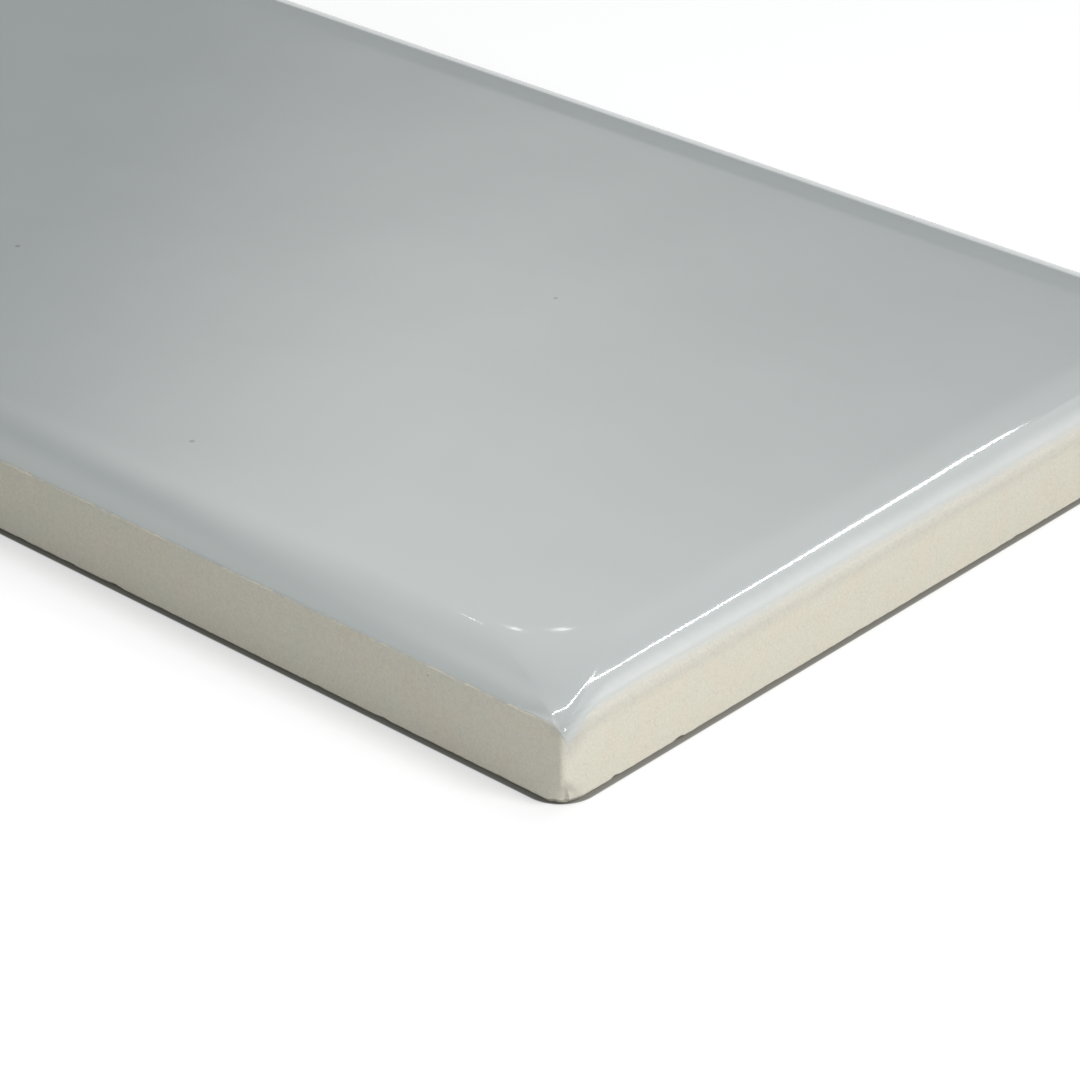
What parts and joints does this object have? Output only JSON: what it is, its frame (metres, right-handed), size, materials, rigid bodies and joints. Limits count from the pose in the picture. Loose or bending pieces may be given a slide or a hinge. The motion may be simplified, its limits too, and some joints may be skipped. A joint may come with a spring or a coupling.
{
  "type": "ceramic wall tile",
  "caption": "Rectangular glazed ceramic wall tile with a soft cushion edge, bare upright sides and a ribbed back for adhesive.",
  "frame": {"origin": "centre of the plane that the back ribs stand on", "axes": "+X along the long side, +Y along the short side, +Z out of the glazed face"},
  "size_m": [0.15, 0.075, 0.007],
  "materials": {
    "glazed_ceramic": "gloss"
  },
  "bodies": {
    "root": {"wall_tile": "glazed_ceramic"}
  },
  "joints": []
}
